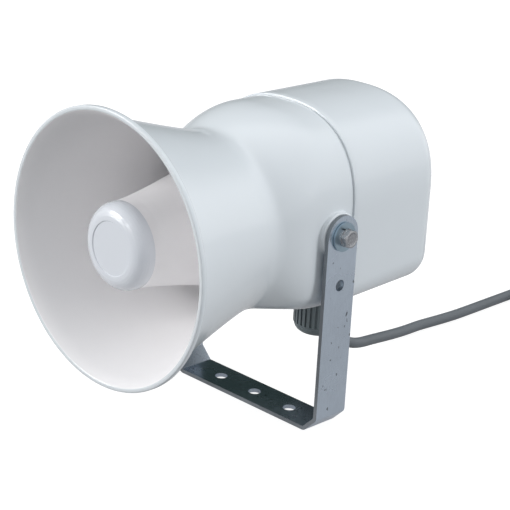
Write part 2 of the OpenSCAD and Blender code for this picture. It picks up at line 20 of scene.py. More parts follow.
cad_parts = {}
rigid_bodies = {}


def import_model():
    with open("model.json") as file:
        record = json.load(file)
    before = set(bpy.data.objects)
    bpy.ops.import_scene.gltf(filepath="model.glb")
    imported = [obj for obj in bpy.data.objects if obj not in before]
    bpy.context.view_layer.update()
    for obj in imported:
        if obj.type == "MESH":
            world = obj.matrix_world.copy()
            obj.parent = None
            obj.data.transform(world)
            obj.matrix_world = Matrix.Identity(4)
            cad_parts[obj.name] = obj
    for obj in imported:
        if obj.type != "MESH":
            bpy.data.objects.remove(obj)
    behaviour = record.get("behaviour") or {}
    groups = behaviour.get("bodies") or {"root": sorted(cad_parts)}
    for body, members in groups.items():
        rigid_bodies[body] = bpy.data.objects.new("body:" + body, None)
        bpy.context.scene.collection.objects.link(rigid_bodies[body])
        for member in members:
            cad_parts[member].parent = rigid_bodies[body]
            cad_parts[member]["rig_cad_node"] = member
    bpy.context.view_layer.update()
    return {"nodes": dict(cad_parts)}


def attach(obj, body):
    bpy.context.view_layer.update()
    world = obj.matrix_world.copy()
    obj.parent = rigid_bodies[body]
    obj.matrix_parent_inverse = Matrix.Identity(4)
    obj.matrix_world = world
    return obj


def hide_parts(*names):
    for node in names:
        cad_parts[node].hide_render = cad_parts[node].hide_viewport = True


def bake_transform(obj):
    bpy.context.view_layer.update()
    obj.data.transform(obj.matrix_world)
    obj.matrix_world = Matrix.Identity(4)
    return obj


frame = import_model()

# %% [markdown]
# ## Camera
#
# The camera comes first, because everything after it is judged through it. Its place was
# found by fitting: the circles of the rim and the nose, the base holes and the strap's
# corners have known places in the model, and the camera that puts them all where the photo
# has them is the one used here. It could be placed by eye and nudged, but an error of one
# degree already moves the far rim by several pixels. The three axes are kept as they came
# out of the fit, so the small roll of the picture is in them. The fit gives the focal
# length in pixels of the picture, and Blender wants it in millimetres on its sensor.

# %% Place the camera
PICTURE_PX, FOCAL_PX, SENSOR_MM = 510, 1601.5, 36.0
camera_right = Vector((0.7046, 0.7078, 0.0509)).normalized()
camera_back = Vector((0.6547, -0.6760, 0.3381)).normalized()
camera_up = camera_back.cross(camera_right).normalized()
camera_right = camera_up.cross(camera_back)
camera_place = Vector((0.63032, -0.65705, 0.41969))

lens_data = bpy.data.cameras.new("photo_lens")
lens_data.sensor_width = SENSOR_MM
lens_data.lens = FOCAL_PX / PICTURE_PX * SENSOR_MM
lens_data.clip_start = 0.01
camera = bpy.data.objects.new("photo_camera", lens_data)
bpy.context.scene.collection.objects.link(camera)
camera.matrix_world = Matrix.Translation(camera_place) @ Matrix(
    (camera_right, camera_up, camera_back)).transposed().to_4x4()
bpy.context.scene.camera = camera
print("lens in mm:", round(lens_data.lens, 2), "camera at:", [round(v, 3) for v in camera_place])

# %% [markdown]
# ## The lead's route
#
# The lead is a round cable 7 mm thick. It leaves the gland already bending, comes down
# behind the strap, and lies on the floor straight back until it leaves the picture. The
# picture doesn't show its end, so the rest is put away as a small tied coil just outside
# the view. A curve object with a round bevel could draw it; here it is made as a mesh tube
# along measured points. The points on the way to the coil are the same ones that the solid
# model uses, in millimetres.

# %% Points of the lead from the gland to the coil
LEAD_R = 0.0035
lead_route = [
    (0, 55.5, 37.95), (0, 55.5, 36.5), (0, 56, 33.6), (0, 57.5, 30), (0, 60.2, 26.6),
    (0, 63.6, 23.9), (0, 68, 21.3), (0, 75, 18), (0, 83, 14.6), (0, 91.6, 11.2), (-1, 101, 9),
    (-2.2, 112, 7.5), (-3, 125, 6), (-3.4, 138, 4.8), (-4, 151, 3.9), (-4.5, 164, 3.5),
    (-3.3, 177, 3.5), (-2, 190, 3.5), (-1.2, 202, 3.5), (-1, 214, 3.5), (-1, 232, 3.5),
    (-1, 250, 3.5), (-1, 268, 3.5), (-1, 286, 3.5)]
lead_route = [Vector(p) / 1000 for p in lead_route]


def path_length(points):
    return sum((b - a).length for a, b in zip(points, points[1:]))


print("lead to the coil:", round(path_length(lead_route), 3), "m")

# %% [markdown]
# ## The coil
#
# Two turns lie side by side on the floor and a third rides in the groove between them. The
# first turn is the outer one, and moves in before it closes. After the second, the lead
# rolls up over its neighbour at a fixed distance of one cable diameter, which is what keeps
# a tube from cutting through itself, and it climbs a little more where it passes over its
# own way in. The path is written by how far the lead has turned, in degrees, clockwise from
# above.

# %% Points of the lead round the coil
COIL = Vector((0.045, 0.312, 0.0))
COIL_OUTER, COIL_INNER = 0.046, 0.039
MOVE_IN, ROLL_UP, PASS_OVER = (296, 360), (596, 662), (655, 725)
COIL_STOP = 930


def ease(value, start, end):
    """Goes smoothly from 0 at start to 1 at end."""
    t = min(max((value - start) / (end - start), 0.0), 1.0)
    return t * t * (3 - 2 * t)


def coil_point(turned):
    """Centre of the lead after it has turned by so many degrees round the coil."""
    d = 2 * LEAD_R
    if turned < 360:
        r = COIL_OUTER + (COIL_INNER - COIL_OUTER) * ease(turned, *MOVE_IN)
        z = LEAD_R
    else:
        roll = math.radians(180 - 60 * ease(turned, *ROLL_UP))
        r = COIL_OUTER + d * math.cos(roll)
        z = LEAD_R + d * math.sin(roll)
    if PASS_OVER[0] < turned < PASS_OVER[1]:
        under = coil_point(turned - 360)
        under_r = (under - COIL).xy.length
        z = max(z, LEAD_R + math.sqrt(max(d * d - (r - under_r) ** 2, 0)))
    angle = math.radians(180 - turned)
    return COIL + Vector((r * math.cos(angle), r * math.sin(angle), z))


lead_path = lead_route + [coil_point(a) for a in range(0, COIL_STOP + 1, 6)]
print("whole lead:", round(path_length(lead_path), 3), "m")

# %% [markdown]
# ## Smooth a path and put rings round it
#
# A list of points makes a path with corners. A Catmull-Rom spline goes through every point
# and rounds the corners between them. The tube is then a ring of points at each step, each
# ring square to the path. The rings must not twist against each other, so each one starts
# from the last one's frame and turns it only as much as the path turns.

# %% Path and tube helpers
def round_turns(count):
    """The angles of this many points spread evenly round a circle."""
    return [2 * math.pi * k / count for k in range(count)]


def smooth_path(points, steps):
    """More points on a Catmull-Rom curve through the given ones."""
    ends = [2 * points[0] - points[1]] + list(points) + [2 * points[-1] - points[-2]]
    fine = []
    for p, q, r, s in zip(ends, ends[1:], ends[2:], ends[3:]):
        for i in range(steps):
            t = i / steps
            fine.append(0.5 * (2 * q + (r - p) * t + (2 * p - 5 * q + 4 * r - s) * t * t
                               + (3 * q - p - 3 * r + s) * t ** 3))
    return fine + [points[-1]]


def tube_rings(path, radius, sides):
    """Rings of points round a path, without twist."""
    side = Vector((1, 0, 0))
    rings = []
    for i, p in enumerate(path):
        along = (path[min(i + 1, len(path) - 1)] - path[max(i - 1, 0)]).normalized()
        side = (side - along * side.dot(along)).normalized()
        other = along.cross(side)
        rings.append([p + radius * (side * math.cos(a) + other * math.sin(a))
                      for a in round_turns(sides)])
    return rings


fine_lead = smooth_path(lead_path, 3)
print("lead:", len(fine_lead), "rings,", round(path_length(fine_lead), 3), "m long")

# %% [markdown]
# ## Make a piece
#
# A piece is a mesh with a name and a body to ride on.
# One helper makes it from points and faces: it drops doubled points, turns the faces
# outward and smooths the shading. Smooth shading rounds real edges off too, so the other
# one keeps those edges crisp that are steeper than an angle.

# %% Piece helpers
def piece_from(name, points, faces, body, finish_slot, stands_for=()):
    mesh = bpy.data.meshes.new(name)
    mesh.from_pydata([tuple(p) for p in points], [], faces)
    mesh.update()
    obj = bpy.data.objects.new(name, mesh)
    bpy.context.scene.collection.objects.link(obj)
    work = bmesh.new()
    work.from_mesh(mesh)
    bmesh.ops.remove_doubles(work, verts=work.verts, dist=1e-7)
    bmesh.ops.recalc_face_normals(work, faces=work.faces)
    work.to_mesh(mesh)
    work.free()
    mesh.shade_smooth()
    if body:
        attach(obj, body)
    if stands_for:
        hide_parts(*stands_for)
    return obj


def sharpen(obj, degrees):
    """Keeps edges steeper than this angle crisp, and shades the rest smooth."""
    obj.data.set_sharp_from_angle(angle=math.radians(degrees))


# %% [markdown]
# ## Turn rings of points into a surface
#
# Nearly every piece here is a stack of rings with the same number of points: a turned
# profile, a lofted housing, a tube. This helper joins neighbouring rings with four-sided
# faces and closes the ends if asked. The lead is the first piece made with it.

# %% Skin helper, and the lead
def skin(rings, capped=False, looped=False):
    """Points and faces of a surface over a stack of equal rings."""
    n, m = len(rings[0]), len(rings)
    points = [p for ring in rings for p in ring]
    faces = []
    for j in range(m if looped else m - 1):
        a, b = j * n, ((j + 1) % m) * n
        for i in range(n):
            k = (i + 1) % n
            faces.append((a + i, a + k, b + k, b + i))
    if capped:
        faces.append(tuple(range(n - 1, -1, -1)))
        faces.append(tuple((m - 1) * n + i for i in range(n)))
    return points, faces


cable = piece_from("lead", *skin(tube_rings(fine_lead, LEAD_R, 24), capped=True), None,
                   "cable_jacket")
sharpen(cable, 60)
print("lead:", len(cable.data.vertices), "points")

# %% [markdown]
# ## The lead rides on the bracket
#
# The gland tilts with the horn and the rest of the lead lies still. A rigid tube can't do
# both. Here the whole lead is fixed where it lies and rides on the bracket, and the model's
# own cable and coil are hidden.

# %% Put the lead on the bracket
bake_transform(cable)
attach(cable, "bracket")
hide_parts("cable", "cable_coil")

# %% [markdown]
# ## Sizes of the housing
#
# These are the solid model's own sizes: the rim, the neck, the wall, the seam between the
# halves, and the width, top and bottom of the front shell. The rear cover is larger than
# the shell by the seam's step. The count of points in a ring says how fine the mesh is.

# %% Housing sizes
RIM_R, RIM_REACH = 0.080, 0.126
NECK_R, NECK_REACH = 0.054, 0.044
WALL = 0.0028
PIVOT_Z = 0.1225
SEAM_Y, COVER_Y, REAR_Y = 0.012, 0.0135, 0.092
SHELL = (0.1156, 0.0654, 0.0468)
SEAM_STEP = 0.0012
COVER = (SHELL[0] + 2 * SEAM_STEP, SHELL[1] + SEAM_STEP, SHELL[2] + SEAM_STEP)
ROUND = 288
print("rear cover in mm: width, top, bottom", [round(1000 * v, 1) for v in COVER])

# %% [markdown]
# ## Shape of the housing
#
# The housing is a round horn that grows into an arched box. Across its width it is a
# superellipse: an ellipse whose exponent is 2.4 instead of 2, which fills its corners a
# little. Below, two short vertical flanks run into a flat sole, whose rounded corners get
# larger towards the back. A sculpted subdivision mesh could be pulled to that shape, but the
# solid model has it as a formula, and the same formula gives a mesh as fine as one likes
# that stays on the solid.

# %% Section of the housing
FLANK, ARCH_POWER = 0.010, 2.4
SOLE_CORNER_FRONT, SOLE_CORNER_REAR = 0.008, 0.019
angles = np.linspace(0, 2 * math.pi, ROUND, endpoint=False)


def sole_corner(y):
    t = min(max((y + NECK_REACH) / (REAR_Y + NECK_REACH), 0), 1)
    return SOLE_CORNER_FRONT + (SOLE_CORNER_REAR - SOLE_CORNER_FRONT) * t


def section_radius(size, y, inset=0.0):
    """How far an outline of this width, top and bottom lies from the axis, at each angle."""
    width, top, bottom = size
    half, low, r = width / 2 - inset, bottom - inset, max(sole_corner(y) - inset, 1e-4)
    arch = np.linspace(0, math.pi, 721)
    c, s = np.cos(arch), np.sin(arch)
    arch_x = half * np.sign(c) * np.abs(c) ** (2 / ARCH_POWER)
    arch_z = FLANK + (top - FLANK - inset) * np.abs(s) ** (2 / ARCH_POWER)
    left = np.linspace(math.pi, 1.5 * math.pi, 41)
    right = np.linspace(1.5 * math.pi, 2 * math.pi, 41)
    down = np.linspace(FLANK, r - low, 30)[1:-1]
    across = np.linspace(r - half, half - r, 120)[1:-1]
    x = np.concatenate([arch_x, np.full(len(down), -half), r - half + r * np.cos(left),
                        across, half - r + r * np.cos(right), np.full(len(down), half)])
    z = np.concatenate([arch_z, down, r - low + r * np.sin(left),
                        np.full(len(across), -low), r - low + r * np.sin(right), down[::-1]])
    where = np.unwrap(np.arctan2(z, x))
    return np.interp(angles, where, np.hypot(x, z), period=2 * math.pi)


def ring_at(y, radius):
    """A ring of points round the horn's axis at depth y."""
    return [Vector((r * math.cos(a), y, PIVOT_Z + r * math.sin(a)))
            for a, r in zip(angles, np.broadcast_to(radius, ROUND))]


rear_outline = section_radius(COVER, COVER_Y)
print("rear cover: top", round(1000 * rear_outline[ROUND // 4], 1), "mm above the axis, sole",
      round(1000 * rear_outline[3 * ROUND // 4], 1), "mm below it")

# %% [markdown]
# ## Bell, neck and shoulder in one formula
#
# On the real moulding the neck swells softly into the housing. As every ring is round about
# the same axis, the outside can be told by one number a direction: the distance from the
# axis. The housing's distance is cut off by a cone, which makes the sloping shoulder, and
# the neck's distance takes over where it is larger. Both cuts use a smooth minimum or
# maximum, so the light runs over the join without a crease. A union of two meshes would
# leave a hard line there. Distances in front of the pivot are called h.

# %% Outside and inside of the front moulding
BELL_END = RIM_REACH - 0.0056
BELL_MOUTH_R = RIM_R - 0.005
BELL_FLARE = 1.15
THINNING_FROM, WALL_AT_MOUTH = 0.090, 0.0011
NECK_FOOT = 0.026
NECK_FOOT_LINE = ([NECK_FOOT, 0.0272, 0.029, 0.037, 0.041, NECK_REACH],
                  [0.0420, 0.0492, 0.0512, 0.0530, 0.0538, NECK_R])
SHOULDER_SLOPE, SHOULDER_START, SHOULDER_BLEND, NECK_BLEND = 0.55, 0.004, 0.009, 0.0022


def smooth_min(a, b, k):
    s = np.maximum(k - np.abs(a - b), 0) / k
    return np.minimum(a, b) - s * s * k / 4


def smooth_max(a, b, k):
    return -smooth_min(-a, -b, k)


def bell_outside(h):
    t = max(h - NECK_REACH, 0) / (BELL_END - NECK_REACH)
    return NECK_R + (BELL_MOUTH_R - NECK_R) * t ** BELL_FLARE


def bell_inside(h):
    """The wall gets thinner towards the mouth, so the inside runs into the lip."""
    t = max(h - THINNING_FROM, 0) / (BELL_END - THINNING_FROM)
    return bell_outside(h) - WALL + (WALL - WALL_AT_MOUTH) * t * t


def neck_outside(h):
    """Outside of neck and bell."""
    return bell_outside(h) if h >= NECK_REACH else float(np.interp(h, *NECK_FOOT_LINE))


def front_outside(h):
    """Outside of the whole moulding: the housing under its cone, and the neck over it."""
    d = NECK_REACH - h
    cone = NECK_R + SHOULDER_SLOPE * (d + math.sqrt(d * d + SHOULDER_START ** 2)) / 2
    shell = smooth_min(section_radius(SHELL, -h), cone, SHOULDER_BLEND)
    return shell if h < NECK_FOOT else smooth_max(shell, neck_outside(h), NECK_BLEND)


print("bell wall at the mouth in mm:", round(1000 * (bell_outside(BELL_END)
                                                     - bell_inside(BELL_END)), 1))

# %% [markdown]
# ## Bell, neck and front housing as one skin
#
# One stack of rings goes all round the moulding: forward along its outside, over the rolled
# lip, back down the bell's inside, round a soft corner and in along the bulkhead to the
# throat. The lip is a short table, because its small curve is what the eye meets first: each
# row tells how far a ring lies inside the rim and behind the mouth, in millimetres. In the
# solid model a foam seal keeps the two halves 1.5 mm apart; screwed home, the edges close
# over it, so this skin runs on to the cover.

# %% Front moulding
LIP = [(3.6, 4.9), (2.2, 4.1), (0.9, 3.7), (0.3, 3.3), (0, 2.7), (0, 0.7), (0.2, 0.2), (0.7, 0),
       (1.9, 0), (2.5, 0.2), (3.0, 0.9), (4.0, 2.1), (5.1, 3.8)]
TOUCH = 0.0001
BULKHEAD, BULKHEAD_CORNER, THROAT_HOLE_R = 0.030, 0.009, 0.013
CLOSED_Y = COVER_Y - TOUCH
quarter_turn = [math.radians(a) for a in range(0, 91, 10)]
outside_h = np.concatenate([np.linspace(-CLOSED_Y, 0.024, 19), np.linspace(0.0255, 0.0305, 11),
                            np.linspace(0.032, 0.060, 29), np.linspace(0.063, BELL_END, 24)])
front_rings = [ring_at(CLOSED_Y, section_radius(SHELL, SEAM_Y, inset)) for inset in (WALL, TOUCH)]
front_rings += [ring_at(-h, front_outside(h)) for h in outside_h]
front_rings += [ring_at(back / 1000 - RIM_REACH, RIM_R - inward / 1000) for inward, back in LIP]
front_rings += [ring_at(-h, bell_inside(h)) for h in np.linspace(BELL_END, NECK_REACH, 40)]
front_rings += [ring_at(-BULKHEAD - BULKHEAD_CORNER * (1 - math.sin(a)),
                        NECK_R - WALL - BULKHEAD_CORNER * (1 - math.cos(a)))
                for a in quarter_turn]
front_rings += [ring_at(-BULKHEAD, THROAT_HOLE_R)]
front_moulding = piece_from("front_moulding", *skin(front_rings), "horn", "housing_plastic",
                            ["horn_body"])
print("front moulding:", len(front_moulding.data.polygons), "faces")

# %% [markdown]
# ## Pivot bosses
#
# A short round boss stands out of each flank where the bracket's bolt goes in. It is a
# turned shape with a soft edge and a small fillet where it grows out of the flank. The rear
# cover starts just behind it, so the boss is flattened there, as its mould would be.

# %% Pivot bosses
BOSS_R, BOSS_END, BOSS_EDGE = 0.0135, 0.0608, 0.001
SIDES = ((1, "right"), (-1, "left"))


def turned(profile, sides=96):
    """Rings of a profile of (radius, distance) turned round Z."""
    return [[Vector((r * math.cos(a), r * math.sin(a), z)) for a in round_turns(sides)]
            for r, z in profile]


def flank_point(p, side):
    """From a shape turned round Z to the same shape turned round the tilt axis."""
    return Vector((side * p.z, p.y, PIVOT_Z + p.x))


boss_profile = [(BOSS_R + 0.0016, 0.0562), (BOSS_R + 0.0007, 0.0574), (BOSS_R + 0.0002, 0.0582),
                (BOSS_R, 0.0590), (BOSS_R, BOSS_END - BOSS_EDGE)]
boss_profile += [(BOSS_R - BOSS_EDGE * (1 - math.cos(a)), BOSS_END - BOSS_EDGE * (1 - math.sin(a)))
                 for a in quarter_turn[1:]]
boss_profile += [(0.0052, BOSS_END), (0.0050, BOSS_END - 0.0002), (0.0050, 0.0520)]
for side, word in SIDES:
    rings = [[flank_point(p, side) for p in ring] for ring in turned(boss_profile)]
    rings = [[Vector((p.x, min(p.y, SEAM_Y - 0.0002), p.z)) for p in ring] for ring in rings]
    sharpen(piece_from(f"pivot_boss_{word}", *skin(rings), "horn", "housing_plastic"), 40)
print("bosses: radius", BOSS_R, "face at", BOSS_END)

# %% [markdown]
# ## Rear cover
#
# The cover is a deep cup with a rounded back. It stands 1.2 mm proud of the front housing,
# which is what draws the line along the seam. It is built like the front moulding, ring by
# ring, but as a closed shell with an inside, because screw wells are then cut through it.
# A boolean cut needs a closed mesh: on an open one it can't tell the inside from the out.

# %% Rear cover
REAR_ROUND, COVER_EDGE = 0.0145, 0.0005


def cover_ring(y, inset):
    return ring_at(y, section_radius(COVER, y, inset))


def back_rounding(radius, start, inset, steps):
    quarter = [math.pi / 2 * i / steps for i in range(steps + 1)]
    return [cover_ring(start + radius * math.sin(a), inset + radius * (1 - math.cos(a)))
            for a in quarter]


straight = REAR_Y - REAR_ROUND
cover_rings = back_rounding(REAR_ROUND - WALL, straight, WALL, 8)[::-1]
cover_rings += [cover_ring(y, WALL) for y in (0.05, COVER_Y)]
cover_rings += [cover_ring(COVER_Y, COVER_EDGE), cover_ring(COVER_Y + 0.00015, 0.00015),
                cover_ring(COVER_Y + COVER_EDGE, 0.0)]
cover_rings += [cover_ring(y, 0.0) for y in np.linspace(0.018, straight - 0.004, 14)]
cover_rings += back_rounding(REAR_ROUND, straight, 0.0, 20)
cover = piece_from("rear_moulding", *skin(cover_rings, capped=True), "horn",
                   "housing_plastic", ["rear_cover"])
print("rear cover:", len(cover.data.polygons), "faces before the wells")

# %% [markdown]
# ## Wells for the cover screws
#
# Four screws hold the cover, and they sit deep in round wells that open in its rounded
# back. A well could be faked with a dark disc, but a real hole catches light on its rim and
# stays dark inside from every side. The mouth of each well is cut with a closed cylinder,
# and a turned sleeve gives it its wall and its floor, down to the screw.

# %% Cut the wells
POSTS = [(0.0430, 0.0440), (-0.0430, 0.0440), (0.0490, -0.0380), (-0.0490, -0.0380)]
WELL_R, WELL_FLOOR, WELL_MOUTH, SCREW_R = 0.0035, 0.030, 0.0862, 0.0019


def well_rings(profile, post, sides):
    """A profile of (radius, depth) turned round the line of a post."""
    return [[Vector((p.x + post[0], p.z, PIVOT_Z + post[1] + p.y)) for p in ring]
            for ring in turned(profile, sides)]


def carve(solid, tools):
    """Cuts each tool out of the solid and removes the tools."""
    for tool in tools:
        step = solid.modifiers.new("carve", "BOOLEAN")
        step.operation = "DIFFERENCE"
        step.solver = "EXACT"
        step.object = tool
        bpy.context.view_layer.update()
        done = bpy.data.meshes.new_from_object(solid.evaluated_get(
            bpy.context.evaluated_depsgraph_get()))
        solid.modifiers.clear()
        solid.data = done
        bpy.data.objects.remove(tool)


carve(cover, [piece_from(f"well_{i}", *skin(well_rings([(WELL_R, WELL_FLOOR), (WELL_R, 0.100)],
                                                       post, 64), capped=True),
                         None, "housing_plastic") for i, post in enumerate(POSTS)])
cover.data.shade_smooth()
sharpen(cover, 38)
well_profile = [(WELL_R - 0.00002, WELL_MOUTH), (WELL_R, WELL_FLOOR + 0.0003),
                (WELL_R - 0.0003, WELL_FLOOR), (SCREW_R, WELL_FLOOR)]
for i, post in enumerate(POSTS):
    sharpen(piece_from(f"screw_well_{i + 1}", *skin(well_rings(well_profile, post, 48)), "horn",
                       "housing_plastic"), 40)
print("rear cover:", len(cover.data.polygons), "faces after the wells")

# %% [markdown]
# ## The strap bracket
#
# The bracket is one flat strip of steel, folded twice on each side by 45 degrees, with round
# ends at the bolts. Its mesh is made the same way as the housing: a four-cornered ring at
# each step along the strip. At the folds the rings turn round a small radius, as real sheet
# does, and at the ends they narrow along a half circle. Half of the strip is worked out, and
# the other half is its mirror image.

# %% Bracket strip
STRAP_W, STRAP_T, LEG_X, FOLD, FOLD_R = 0.025, 0.0025, 0.0635, 0.0094, 0.0036


def fold(corner, before, after, steps=6):
    """Pairs of outer and inner points round one fold, on the outer corner given."""
    corner = Vector(corner)
    before, after = Vector(before).normalized(), Vector(after).normalized()
    bend = before.angle(after)
    normal = Vector((-before.y, before.x))
    centre = corner - before * FOLD_R * math.tan(bend / 2) + normal * FOLD_R
    pairs = []
    for i in range(steps + 1):
        a = bend * i / steps
        out = -normal * math.cos(a) + before * math.sin(a)
        pairs.append((centre + out * FOLD_R, centre + out * (FOLD_R - STRAP_T)))
    return pairs


def leg_pair(z):
    return Vector((LEG_X, z)), Vector((LEG_X - STRAP_T, z))


def strap_ring(pair, width, side):
    outer, inner = pair
    return [Vector((side * outer.x, -width, outer.y)), Vector((side * outer.x, width, outer.y)),
            Vector((side * inner.x, width, inner.y)), Vector((side * inner.x, -width, inner.y))]


half_line = [(Vector((x, 0)), Vector((x, STRAP_T))) for x in (0.0, 0.020, 0.040)]
half_line += fold((LEG_X - FOLD, 0), (1, 0), (1, 1)) + fold((LEG_X, FOLD), (1, 1), (0, 1))
half_line += [leg_pair(z) for z in (0.04, 0.08, 0.11)]
widths = [STRAP_W / 2] * len(half_line)
for a in np.linspace(0, math.radians(87), 30):
    half_line.append(leg_pair(PIVOT_Z + STRAP_W / 2 * math.sin(a)))
    widths.append(STRAP_W / 2 * math.cos(a))
strap_rings = [strap_ring(p, w, -1) for p, w in zip(half_line[:0:-1], widths[:0:-1])]
strap_rings += [strap_ring(p, w, 1) for p, w in zip(half_line, widths)]
strap = piece_from("strap", *skin(strap_rings, capped=True), "bracket", "strap_steel",
                   ["bracket"])
print("strap: bounds in mm", [round(1000 * v) for v in strap.dimensions])

# %% [markdown]
# ## Holes and edges of the strap
#
# The strip was punched with round holes: three in the base for the mounting screws, one in
# each leg, and one at each pivot. Each is cut with a closed cylinder, as the wells were. A
# bevel then takes the sharpness off the sheared edges, since a perfectly sharp edge never
# catches the light.

# %% Punch and soften the strap
BASE_PITCH, LEG_MID_X, LEG_HOLE_DROP, PUNCH_REACH = 0.030, 0.0622, 0.030, 0.006
BASE_HOLE_R, LEG_HOLE_R, BOLT_HOLE_R = 0.004, 0.0035, 0.00308


def drill(name, centre, axis, radius):
    """A closed cylinder to cut with, along X or Z."""
    rings = []
    for d in (-PUNCH_REACH, PUNCH_REACH):
        circle = [(radius * math.cos(a), radius * math.sin(a)) for a in round_turns(72)]
        rings.append([Vector(centre) + Vector((u, v, d) if axis == "Z" else (d, u, v))
                      for u, v in circle])
    return piece_from(name, *skin(rings, capped=True), None, "strap_steel")


drills = [drill(f"base_{i}", (BASE_PITCH * i, 0, 0.001), "Z", BASE_HOLE_R) for i in (-1, 0, 1)]
drills += [drill(f"leg_{s}", (s * LEG_MID_X, 0, PIVOT_Z - LEG_HOLE_DROP), "X", LEG_HOLE_R)
           for s in (-1, 1)]
drills += [drill(f"pivot_{s}", (s * LEG_MID_X, 0, PIVOT_Z), "X", BOLT_HOLE_R) for s in (-1, 1)]
carve(strap, drills)
soften = strap.modifiers.new("sheared_edges", "BEVEL")
soften.width = 0.00032
soften.segments = 2
soften.limit_method = "ANGLE"
soften.angle_limit = math.radians(50)
strap.data.shade_smooth()
sharpen(strap, 30)
print("strap:", len(strap.data.polygons), "faces and", len(drills), "holes")

# %% [markdown]
# ## Hexagon bolts
#
# A forged bolt head is a hexagon whose corners are turned off on top by a cone, and its top
# is a shallow dish with a raised rim. Told by its distance from the axis, the head is the
# smaller of hexagon and cone at each height, so the same ring helper makes it. Each level of
# the head is its height above the washer and the widest that the cone lets it be.

# %% Bolt heads
HEAD_X, HEAD_T, HEX_AF, SHANK_R = 0.0664, 0.0040, 0.0100, 0.003
HEX_TURN = math.radians(44)
UNCUT = 0.0062
head_levels = [(0.0, UNCUT), (0.0001, UNCUT)]
head_levels += [(HEAD_T - 0.0009 + 0.0001 * i, 0.00585 - 0.00013 * i) for i in range(9)]
head_levels += [(HEAD_T, 0.0044), (HEAD_T - 0.0001, 0.0039), (HEAD_T - 0.00045, 0.0035),
                (HEAD_T - 0.0006, 0.0022), (HEAD_T - 0.00065, 0.0004)]


def hexagon(angle):
    """Distance from the centre to a hexagon's side, in this direction."""
    part = (angle + math.pi / 6) % (math.pi / 3) - math.pi / 6
    return HEX_AF / 2 / math.cos(part)


def bolt_rings(side):
    rings = []
    for height, widest in head_levels:
        reach = [(a, min(hexagon(a + HEX_TURN), widest)) for a in round_turns(144)]
        rings.append([flank_point(Vector((r * math.cos(a), r * math.sin(a), HEAD_X + height)),
                                  side) for a, r in reach])
    return rings


for side, word in SIDES:
    stem = [[flank_point(p, side) for p in ring]
            for ring in turned([(SHANK_R, 0.0478), (SHANK_R, HEAD_X + 0.0002)], 48)]
    shank = piece_from(f"bolt_shank_{word}", *skin(stem, capped=True), "horn", "bolt_steel")
    sharpen(shank, 32)
    head = piece_from(f"bolt_head_{word}", *skin(bolt_rings(side), capped=True), "horn",
                      "bolt_steel", ["pivot_bolts"])
    sharpen(head, 24)
print("bolt heads:", HEX_AF, "across flats")

# %% [markdown]
# ## Tie round the coil
#
# A nylon tie holds the coil. Pulled tight, it wraps the outside of the bundle, so its line
# is the outline round the three cables that it holds, as a rubber band would lie. Where that
# line would pass under the floor it is pressed flat.

# %% Tie
TIE_HALF, TIE_T, TIE_GAP = 0.0022, 0.0010, 0.00015
bundle = [(COIL_OUTER, LEAD_R), (COIL_INNER, LEAD_R), (0.0425, 0.00956)]


def round_the_bundle(gap, count=72):
    """Outline round the bundle's three cables, as a band stretched over them."""
    line = []
    for a in round_turns(count):
        out = Vector((math.cos(a), math.sin(a)))
        line.append((out, max(Vector(c).dot(out) + LEAD_R + gap for c in bundle)))
    corners = []
    for (p, a), (q, b) in zip(line, line[1:] + line[:1]):
        det = p.x * q.y - p.y * q.x
        corners.append(Vector(((a * q.y - b * p.y) / det, (b * p.x - a * q.x) / det)))
    return corners


tie_rings = []
for low, high in zip(round_the_bundle(TIE_GAP), round_the_bundle(TIE_GAP + TIE_T)):
    tie_rings.append([COIL + Vector((s * TIE_HALF, p.x, max(p.y, 0.0001)))
                      for s, p in ((-1, low), (1, low), (1, high), (-1, high))])
tie = piece_from("lead_tie", *skin(tie_rings, looped=True), "bracket", "black_plastic",
                 ["cable_tie"])
sharpen(tie, 40)
print("tie:", len(tie_rings), "steps round the bundle")

# %% [markdown]
# ## Bare ends of the lead
#
# The lead isn't on a plug: an installer wires it to a line, so it ends in two stripped
# cores that spread and droop a little. Each shows seven copper strands, six round one.

# %% Cores and strands
CORE_R, CORE_LENGTH, CORE_SPREAD, CORE_DROOP = 0.0013, 0.016, 11.5, 2.0
STRAND_R, STRAND_LENGTH, STRAND_RING = 0.00022, 0.009, 0.00045
stop_angle = math.radians(180 - COIL_STOP)
end_place = coil_point(COIL_STOP)
end_way = (coil_point(COIL_STOP + 0.5) - coil_point(COIL_STOP - 0.5)).normalized()
outward = Vector((math.cos(stop_angle), math.sin(stop_angle), 0))
upward = Vector((0, 0, 1))
for s, word in ((-1, "inner"), (1, "outer")):
    start = end_place + outward * s * 0.0015 - end_way * 0.001
    path = [start + end_way * d + (outward * s * CORE_SPREAD - upward * CORE_DROOP) * d * d
            for d in np.linspace(0, CORE_LENGTH, 9)]
    core = piece_from(f"core_{word}", *skin(tube_rings(path, CORE_R, 16), capped=True),
                      "bracket", "core_insulation", ["cable_ends"])
    sharpen(core, 60)
    tip, way = path[-1], (path[-1] - path[-2]).normalized()
    places = [STRAND_RING * (outward * math.cos(a) + upward * math.sin(a))
              for a in round_turns(6)] + [Vector((0, 0, 0))]
    for k, off in enumerate(places):
        strand_path = [tip - way * 0.001 + off + way * d + off * (d / 0.02)
                       for d in np.linspace(0, STRAND_LENGTH, 5)]
        piece_from(f"strand_{word}_{k + 1}",
                                *skin(tube_rings(strand_path, STRAND_R, 8), capped=True),
                                "bracket", "copper_wire")

